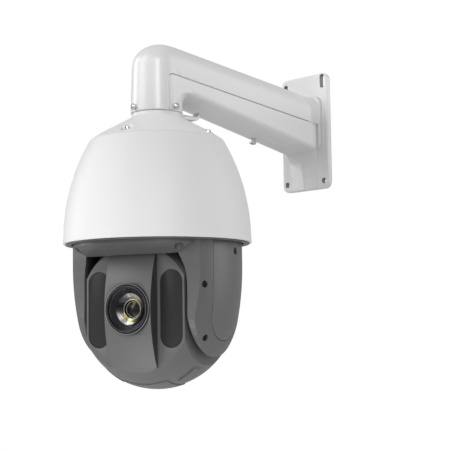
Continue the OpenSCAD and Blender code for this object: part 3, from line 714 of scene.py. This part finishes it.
def arm_details():
    under = under_arm()
    hatch = prism(round_rect(23.2, 57, 2, 0, 197), -0.45, 0.7, "z")
    edges(hatch, 0.4, 2)
    piece(hatch, "arm_hatch", "bracket", WHITE, "bracket_paint", "access_hatch", place=under)
    post = lathe(soften([(0, -8), (2.2, -8), (2.2, 0.05), (3, 0.05), (3, 4.6), (0, 4.6)],
                        [0, 0.3, 0, 0, 0, 0], 3), 40)
    head = lathe(soften([(0, 4.5), (4.3, 4.5), (4.6, 5), (4.6, 6.4), (4, 7.1), (1.9, 7.1), (1.9, 5.6),
                         (0, 5.6)], [0, 0.2, 0.2, 0.3, 0.3, 0, 0, 0], 3), 48)
    bolt = merged(post, head)
    bolt.data.transform(Matrix.Translation((-18, 178, 0)) @ Matrix.Rotation(math.pi, 4, "X"))
    piece(bolt, "cover_bolt", "bracket", STEEL, "bare_steel", "cover_screw", place=under)
    screws = []
    for a in NECK_SCREWS:
        seat = around(a, NECK_R + 1.9, NECK_SCREW_Z) @ Y90
        collar = lathe([(2.55, -2.4), (3.1, -2.4), (3.1, -0.05), (2.55, -0.05)], 40, seat)
        screws += [screw(3.8, 3.6, 2.0, 2.5, 9, seat), collar]
    piece(merged(*screws), "neck_bolts", "bracket", STEEL, "bare_steel", "neck_screws", place=DOME)
    line = [(30.1, 151), (33, 151.2), (38, 153), (56, 153.2), (62, 154.5), (66, 158), (67, 163.5),
            (64, 164.5), (62, 160), (58, 158.8), (31.4, 158.8), (31.4, 154.8), (30.1, 154.8)]
    hook = prism(soften(line, [0, 1, 2, 3, 4, 4, 1.2, 1.2, 3, 3, 0, 0, 0], 4), -5, 5, "x")
    edges(hook, 0.7, 2, 40)
    piece(hook, "lanyard_bar", "bracket", ZINC, "hook_grey", "lanyard_hook", place=DOME)


# ---------- dome housing ----------

DOME_R = 110
SHELL_H = 121
SHELL_TOP_R = 79.5
CAP_TOP = 154.8
CAP_SCREWS = (19, 109, 199, 289)
CAP_SCREW_R = 68
CAP_HOLE_R = 2.6


def bulge(z, inset=0.0):
    """Radius of the shell at a height, less an inset."""
    big = ((SHELL_H - 5) ** 2 + (DOME_R - SHELL_TOP_R) ** 2) / 2 / (DOME_R - SHELL_TOP_R)
    return DOME_R - big + math.sqrt(big ** 2 - max(0, z - 5) ** 2) - inset


def dome_shell():
    outer = [(bulge(z), z) for z in (SHELL_H * i / 56 for i in range(1, 57))]
    outer[-1] = (SHELL_TOP_R, SHELL_H)
    inner = [(bulge(z, 3), z) for z in ((SHELL_H - 5) * i / 24 for i in range(24, -1, -1))]
    profile = ([(DOME_R - 3, 0), (DOME_R + 0.1, 0), (DOME_R + 0.5, 0.5), (DOME_R + 0.5, 4.5),
                (DOME_R + 0.1, 5.6)] + outer[2:] + [(60, SHELL_H), (60, SHELL_H - 3)] + inner)
    shell = lathe(profile, 256)
    cut(shell, *[rod(CAP_HOLE_R, 100, 160, 24, around(a, CAP_SCREW_R)) for a in CAP_SCREWS])
    edges(shell, 0.8, 3, 22)
    piece(shell, "shell_moulding", "bracket", SHELL_WHITE, "shell_paint", "dome_shell", place=DOME)


def cap_bolt(place):
    """Cheese head with a wide slot that runs inwards and outwards."""
    head = lathe([(0, 0), (3.5, 0), (3.6, 0.3), (3.6, 4.7), (3.1, 5.4), (0, 5.6)], 48)
    cut(head, block((-6, 6), (-0.95, 0.95), (1.6, 9)))
    edges(head, 0.15, 1, 40)
    shank = lathe([(0, 0.01), (2.3, 0.01), (2.3, -6.6), (1.9, -7), (0, -7)], 24)
    done = merged(head, shank)
    done.data.transform(place)
    return done


def dome_cap():
    line = [(TUBE_R + 0.1, CAP_TOP), (29.3, CAP_TOP), (29.8, 150.6), (33, 148.2), (50, 138.8), (67, 129.6),
            (SHELL_TOP_R, SHELL_H + 0.15), (58, SHELL_H + 0.6), (58, 129.6), (48, 134.6), (31, 141.8),
            (TUBE_R + 0.1, 143.5)]
    cap = lathe(soften(line, [0.4, 1.0, 2, 2, 14, 8, 0.3, 0, 0, 0, 0, 0], 6), 220)
    wells = []
    for a in CAP_SCREWS:
        wells.append(rod(CAP_HOLE_R, 110, 125, 24, around(a, CAP_SCREW_R)))
        wells.append(lathe([(0, 124.5), (6.4, 124.5), (7.2, 127), (7.6, 150), (0, 150)], 48,
                           around(a, CAP_SCREW_R)))
    for well in wells:
        cut(cap, well)
    edges(cap, 0.5, 2, 30)
    piece(cap, "cap_casting", "bracket", CAP_WHITE, "cap_paint", "dome_cap", place=DOME)
    bolts = [cap_bolt(around(a, CAP_SCREW_R, 124.6)) for a in CAP_SCREWS]
    piece(merged(*bolts), "cap_bolts", "bracket", STEEL, "bare_steel", "cap_screws", place=DOME)


def rim():
    line = [(100.7, -1.4), (107.8, -1.4), (107.8, -0.5), (105.4, -0.5), (105.4, 3.8), (106, 3.8), (106, 22),
            (103.5, 22), (103.5, 5), (100.7, 5)]
    ring = lathe(soften(line, [0.5, 0.4, 0.3, 0, 0, 0, 0, 0, 0.4, 0.4], 3), 220)
    piece(ring, "rim_moulding", "bracket", DARK, "dark_paint", "rim_ring", place=DOME)


# ---------- turning yoke ----------

YOKE_R = 99
SIDE_ARC = 350
SIDE_FROM = -25
DECK = (9, 13)
EAR_IN = 67.6
EAR_END_R = 54.5
EAR_V = 53
FOOT_FROM = -92
FOOT_ARC = 104
SKIN = 3.5
CHIN_V = 60.5
SWEEP_R = 85.4
SIDE_SCREWS = ((61.5, 26), (66.5, -33))
CHIN_SCREW = (65, 67)
CHIN_LOW = -16
TILT_BORE_R = 14
SIDE_HOLE_R = 3.9

# height, then how far out and how far forward an ear's inner front corner stands
FLARE_RINGS = ((DECK[0] + 1, 60, 60.4), (-15, 60, 60.4), (-19, 61.4, 58.6), (-24, 63, 56.8), (-31, 65.4, 55),
               (-40, 67, 53.8), (-52, EAR_IN, EAR_V))


def yoke_at(z):
    """Radius of the yoke's skin at a height."""
    barrel = YOKE_R - SIDE_ARC + math.sqrt(SIDE_ARC ** 2 - min(0, z - SIDE_FROM) ** 2)
    return barrel - max(0, FOOT_FROM - z) ** 2 / 2 / FOOT_ARC


def yoke_lean(z):
    """Lean of the yoke's skin from upright at a height."""
    return math.asin((SIDE_FROM - z) / SIDE_ARC) + math.atan(max(0, FOOT_FROM - z) / FOOT_ARC)


def drum(inset=0.0, top=DECK[1]):
    """Round body that the yoke's two ears are cut from."""
    line = [(yoke_at(z) - inset, z) for z in [top] + [SIDE_FROM - 3.4 * i for i in range(34)]]
    return lathe([(0, top)] + line + [(0, line[-1][1])], 240)


def ear_outline():
    front = [(-EAR_V, DECK[0] + 1), (-EAR_V, -66)]
    low = arc(0, TILT_Z, EAR_END_R, 190, 350, 40)
    return front + low + [(-y, z) for y, z in reversed(front)]


def loft(rings):
    """Solid through closed loops of as many points each."""
    n = len(rings[0])
    verts = [p for ring in rings for p in ring]
    faces = [list(range(n)), list(range(n * (len(rings) - 1), n * len(rings)))]
    for k in range(len(rings) - 1):
        faces += [[k * n + i, k * n + (i + 1) % n, (k + 1) * n + (i + 1) % n, (k + 1) * n + i]
                  for i in range(n)]
    return solid(verts, faces)


def ear_flare():
    """Front of an ear, from its outer edge to the soffit's corner, easing back to the ear's inner wall."""
    edge = math.sqrt(YOKE_R ** 2 - EAR_V ** 2)
    return loft([[(u, -v, z), (edge, -EAR_V - 0.02, z), (edge, -44, z), (EAR_IN, -44, z)]
                 for z, u, v in FLARE_RINGS])


def cover_window(grow):
    """Outline of the side cover, or of the recess that it lies in."""
    w, foot, low, r = 37 + grow, 34 + grow, TILT_Z - 37 - grow, 32
    right = [(w, 0), (w, -45), (foot, low + r)] + arc(foot - r, low + r, r, 0, -90, 16)
    return right + [(-y, z) for y, z in reversed(right)]


def side_screw_frames():
    for angle, up in SIDE_SCREWS:
        z = TILT_Z + up
        lean = yoke_lean(z)
        yield (Matrix.Rotation(math.radians(angle - 90), 4, "Z") @ Matrix.Translation((yoke_at(z), 0, z))
               @ Matrix.Rotation(math.pi / 2 + lean, 4, "Y"))


def yoke():
    ear = prism(ear_outline(), EAR_IN, 110, "x")
    flare = ear_flare()
    join(ear, flare, mirrored(flare, (0, 1, 0)))
    meet(ear, drum())
    bite = lathe([(54.2, EAR_IN - 1), (80, EAR_IN - 1), (80, EAR_IN + 22), (75.2, EAR_IN + 20)], 160,
                 Matrix.Translation((0, 0, TILT_Z + 5)) @ Y90)
    meet(bite, block((EAR_IN - 5, 110), (-90, 90), (-200, TILT_Z + 8)))
    cut(ear, bite)
    cut(ear, prism(cover_window(0), EAR_IN + SKIN, 120, "x"))
    cut(ear, rod(TILT_BORE_R, -1, SKIN + 1, 64, Matrix.Translation((EAR_IN, 0, TILT_Z)) @ Y90))
    for place in side_screw_frames():
        cut(ear, rod(SIDE_HOLE_R, -5, 5, 40, place))
    edges(ear, 0.6, 2, 30)
    twin = mirrored(ear)
    deck = lathe(soften([(14, DECK[0]), (YOKE_R, DECK[0]), (YOKE_R, DECK[1]), (14, DECK[1])],
                        [0, 0.8, 0.8, 0], 3), 240)
    piece(merged(deck, ear, twin), "yoke_casting", "yoke", DARK, "dark_paint", "yoke_frame", place=HEAD)


def side_covers():
    shell = drum()
    cut(shell, drum(3.2, DECK[1] + 1))
    meet(shell, prism(cover_window(-0.6), EAR_IN + 8, 110, "x"))
    cut(shell, block((0, 130), (-80, 80), (-0.2, 30)))
    cut(shell, prism(arc(5, -12, 4.2, 0, 352, 44), 80, 110, "x"))
    edges(shell, 0.45, 2, 30)
    twin = mirrored(shell)
    piece(shell, "side_cover_plate_right", "yoke", DARK_LIGHT, "dark_plastic", "side_cover_right", place=HEAD)
    piece(twin, "side_cover_plate_left", "yoke", DARK_LIGHT, "dark_plastic", "side_cover_left", place=HEAD)
    screws = [screw(3.3, 2.0, 1.5, 1.4, 1.4, place @ Matrix.Translation((0, 0, -3.4)))
              for place in side_screw_frames()]
    screws += [mirrored(s) for s in screws]
    piece(merged(*screws), "side_bolts", "yoke", BLACK_STEEL, "black_screw", "side_cover_screws", place=HEAD)


def chins():
    for name, node, spin in (("front_soffit", "front_chin", 0), ("rear_soffit", "rear_chin", 180)):
        rim_points = []
        half = math.degrees(math.acos(CHIN_V / (YOKE_R - 0.2)))
        for z in (-5, DECK[0] - 0.02):
            rim_points += [(x, y, z) for x, y in arc(0, 0, YOKE_R - 0.2, 270 - half, 270 + half, 60)]
        low = [(x, y, z) for x in (-59, 59) for y in (-CHIN_V, -CHIN_V - 1.5)
               for z in (CHIN_LOW, CHIN_LOW + 2)]
        chin = hull(rim_points + low)
        cut(chin, rod(SWEEP_R, -80, 80, 200, Matrix.Translation((0, 0, TILT_Z)) @ Y90))
        for x in (-CHIN_SCREW[0], CHIN_SCREW[0]):
            cut(chin, lathe([(0, -30), (5, -30), (4.6, -3.6), (0, -3.6)], 40,
                            Matrix.Translation((x, -CHIN_SCREW[1], 0))))
        edges(chin, 0.8, 3, 20)
        piece(chin, name, "yoke", SHADED_SOFFIT, "dark_plastic", node,
              place=HEAD @ Matrix.Rotation(math.radians(spin), 4, "Z"))
    down = Matrix.Rotation(math.pi, 4, "X")
    bolts = [screw(3.5, 3, 1.6, 1.6, 2, Matrix.Translation((x, -CHIN_SCREW[1], -3.7)) @ down)
             for x in (-CHIN_SCREW[0], CHIN_SCREW[0])]
    piece(merged(*bolts), "soffit_bolts", "yoke", STEEL_DARK, "black_screw", "chin_screws", place=HEAD)


# ---------- tilting ball ----------

BALL_R = 90
BALL_HW = 64
FACE_V = 53.5
BAND_V = 69.5
BAND_HW = 30
BAND_ARC = 165
TOP_R = 84
LOW_CUT = -72
BEZEL_V = 44
SHAFT_HOLE_R = 8.02
BALL_STEPS = 220
WINDOW_U, WINDOW_R, WINDOW_H = 47.3, 14.1, 43.3


def sphere(r):
    half = BALL_STEPS // 2
    line = [(r * math.sin(math.pi * i / half), r * math.cos(math.pi * i / half)) for i in range(1, half)]
    return lathe([(0, r)] + line + [(0, -r)], BALL_STEPS)


def ball_round(inset=0.0):
    """The ball with its two flat flanks and its flatter top, before its face is cut."""
    reach = rod(TOP_R - inset, -100, 100, BALL_STEPS, Y90)
    join(reach, block((-100, 100), (-120, 120), (-120, LOW_CUT)))
    join(reach, block((-100, 100), (-120, 0), (-120, 0)))
    flanks = block((-BALL_HW + inset, BALL_HW - inset), (-120, 120), (-120, 120))
    ball = meet(sphere(BALL_R + 0.6 - inset), flanks)
    return meet(ball, reach)


def front_limit():
    """Everything behind the flat lamp faces and behind the bowed lens band."""
    bow = [(-BAND_V + BAND_ARC - math.sqrt(BAND_ARC ** 2 - z * z), z)
           for z in (2.5 * i for i in range(-36, 37))]
    band = prism([(0, -90)] + bow + [(0, 90)], -BAND_HW, BAND_HW, "x")
    return join(block((-120, 120), (-FACE_V, 120), (-120, 120)), band)


def window_pocket(grow, back, front):
    """Both lamp windows' recesses, grown all round."""
    pocket = prism(stadium(WINDOW_R + grow, WINDOW_H + grow, WINDOW_U, 0, 28), -front, -back, "y")
    return merged(pocket, mirrored(pocket))


def bezel():
    front = meet(ball_round(), front_limit())
    cut(front, window_pocket(0.3, FACE_V - 5, FACE_V + 30))
    cut(front, lathe([(0, 30), (24.2, 30), (24.2, BAND_V - 2.5), (29.2, BAND_V - 2.5), (29.2, 100),
                      (0, 100)], 120, X90))
    edges(front, 0.8, 2, 24)
    cut(front, block((-120, 120), (-BEZEL_V, 120), (-120, 120)))
    piece(front, "bezel_casting", "ball", BEZEL, "dark_paint", "front_bezel", place=BALL)


def ball_body():
    body = edges(meet(ball_round(), front_limit()), 0.8, 2, 24)
    cut(body, block((-120, 120), (-120, -BEZEL_V + 0.15), (-120, 120)))
    cut(body, ball_round(SKIN))
    cut(body, rod(SHAFT_HOLE_R, -80, 80, 64, Y90))
    piece(body, "ball_casting", "ball", DARK, "dark_paint", "ball_body", place=BALL)


def underside():
    pad = prism(soften([(-29, -32.5), (29, -32.5), (29, 8), (20, 29), (-20, 29), (-29, 8)], 5), -120, 0)
    meet(pad, sphere(BALL_R + 1.7))
    cut(pad, sphere(BALL_R + 0.62))
    edges(pad, 0.5, 2, 30)
    piece(pad, "service_plate", "ball", DARK, "dark_plastic", "service_cover", place=BALL)
    rib = prism(soften([(37, -21), (60, -21), (60, -9), (37, -9)], 2.5), -120, 0)
    meet(rib, sphere(BALL_R + 2.3))
    cut(rib, sphere(BALL_R + 0.62))
    edges(rib, 0.5, 2, 30)
    piece(merged(rib, mirrored(rib)), "finger_ribs", "ball", DARK, "dark_plastic", "ball_ribs", place=BALL)


def lamps():
    for name, node, side in (("lamp_cover_right", "lamp_window_right", 1),
                             ("lamp_cover_left", "lamp_window_left", -1)):
        window = prism(stadium(WINDOW_R, WINDOW_H, side * WINDOW_U, 0, 28), -FACE_V + 0.8, -FACE_V + 2.6, "y")
        edges(window, 0.4, 2, 40)
        piece(window, name, "ball", WINDOW, "lamp_window", node, place=BALL)
    lenses = []
    crown = [(5.4 * math.cos(t), 0.6 + 3.9 * math.sin(t))
             for t in (math.radians(a) for a in range(5, 90, 12))]
    line = [(0, 0), (5.6, 0), (5.6, 0.6)] + crown + [(0, 4.5)]
    for x in (-WINDOW_U, WINDOW_U):
        for z in range(-28, 29, 14):
            lenses.append(lathe(line, 32, Matrix.Translation((x, -46.05, z)) @ X90))
    piece(merged(*lenses), "lamp_lens_caps", "ball", LAMP_GLASS, "lamp_lens", "lamp_lenses", place=BALL)


# ---------- lens ----------


def grooved(start, end, count, depth):
    """Points from one (radius, depth) to another across fine turned grooves."""
    a, b = Vector(start), Vector(end)
    away = (b - a).normalized()
    away = Vector((-away.y, away.x)) * depth
    out = []
    for i in range(count):
        for k in range(4):
            q = a + (b - a) * ((i + k / 4) / count) + away * math.sin(math.pi * k / 4)
            out.append((q.x, q.y))
    return out + [tuple(b)]


def ring_bead(r, depth, half):
    """Thin round bead that circles the lens axis."""
    return lathe(arc(r, depth, half, 0, 330, 11), 140, X90)


def lens():
    steps = []
    for i in range(3):
        r = 28.7 - i * 1.4
        top = BAND_V + 0.5 + i * 0.6
        steps += [(r, top), (r - 0.25, top + 0.5), (r - 0.7, top + 0.5), (r - 0.95, top - 0.5)]
    ring = lathe([(28.8, BAND_V - 2.4), (28.8, BAND_V + 0.2)] + steps
                 + [(24.5, BAND_V + 1.9), (24.3, BAND_V - 0.4), (24.3, BAND_V - 2.4)], 160, X90)
    piece(ring, "lens_bezel_ring", "ball", LENS_RING, "lens_black", "lens_ring", place=BALL)
    # Painted highlight: pale beads on the ribs' crests draw the ribs' light lines.
    beads = [ring_bead(r, BAND_V + depth, 0.22) for r, depth in ((28.1, 1.15), (25.4, 2.0))]
    piece(merged(*beads), "lens_ring_beads", "ball", RIB_HIGHLIGHT_PAINT, "lens_black", place=BALL)
    glass = lathe(soften([(0, BAND_V - 3.3), (24.1, BAND_V - 3.3), (24.1, BAND_V - 1.3), (0, BAND_V - 1.3)],
                         [0, 0.2, 0.2, 0], 2), 120, X90)
    piece(glass, "front_window", "ball", CLEAR, "window_glass", "window_glass", place=BALL)
    wall = ([(24.1, BAND_V - 3.4)] + grooved((23.8, BAND_V - 3.5), (18.1, 62.6), 9, 0.2)
            + [(17.9, 62.4), (17.9, 57.4), (24.1, 57.4)])
    piece(lathe(wall, 140, X90), "lens_shroud", "ball", LENS_SATIN, "lens_black", place=BALL)
    cone = grooved((17.3, 63.9), (14.2, 60.6), 12, 0.07)
    barrel = lathe([(13.4, 12), (19.4, 12), (19.4, 57), (17.7, 57.2), (17.7, 63.9)] + cone
                   + [(14.0, 60.4), (14.0, 56), (13.4, 56)], 140, X90)
    piece(barrel, "lens_barrel_turned", "ball", BARREL, "barrel_silver", "lens_barrel", place=BALL)
    hood = [(13.9, 56)] + grooved((13.9, 60.4), (11.3, 58.4), 9, 0.06) + [(10.3, 57.9), (10.3, 56)]
    piece(lathe(hood, 140, X90), "lens_hood_ring", "ball", COATED, "front_glass", place=BALL)
    rings = [ring_bead(10.7, 58.3, 0.24), ring_bead(8.6, 56.1, 0.14)]
    piece(merged(*rings), "lens_front_beads", "ball", BEAD_BRIGHT, "barrel_silver", place=BALL)
    bow = [(10.2 * i / 16, 54.6 + 2.9 * math.cos(math.pi / 2 * i / 16)) for i in range(17)]
    front = lathe([(0, 50.2), (13.2, 50.2), (13.2, 54.4), (10.2, 54.6)] + list(reversed(bow[:-1])), 120, X90)
    piece(front, "front_element", "ball", ELEMENT, "front_glass", "front_lens", place=BALL)


def carried_over():
    """CAD nodes whose shape is right keep it, under a finish of their own."""
    finishes = {
        BLACK: ["shell_seal", "bezel_seal"],
        PALE_RUBBER: ["cap_gasket"],
        STEEL: ["neck_tube", "base_posts", "tilt_shafts", "guide_rods", "pan_bearing_outer",
                "pan_bearing_balls", "tilt_bearings", "pan_hub"],
        ALU: ["base_plate", "heat_sink"],
        BOARD: ["main_board", "drive_board", "lamp_boards", "sensor_board"],
        MOTOR: ["pan_motor", "tilt_motor"],
        ACETAL: ["pan_gear", "pan_pinion", "tilt_gear", "tilt_pinion"],
        LENS_BLACK: ["slip_ring", "slip_ring_rotor", "camera_chassis", "zoom_group", "focus_group",
                     "cut_filter"],
    }
    for material, names in finishes.items():
        for name in names:
            mesh = frame["nodes"][name].data
            mesh.materials.clear()
            mesh.materials.append(material)


wall_bracket()
arm_cover()
arm_details()
dome_shell()
dome_cap()
rim()
yoke()
side_covers()
chins()
bezel()
ball_body()
underside()
lamps()
lens()
carried_over()
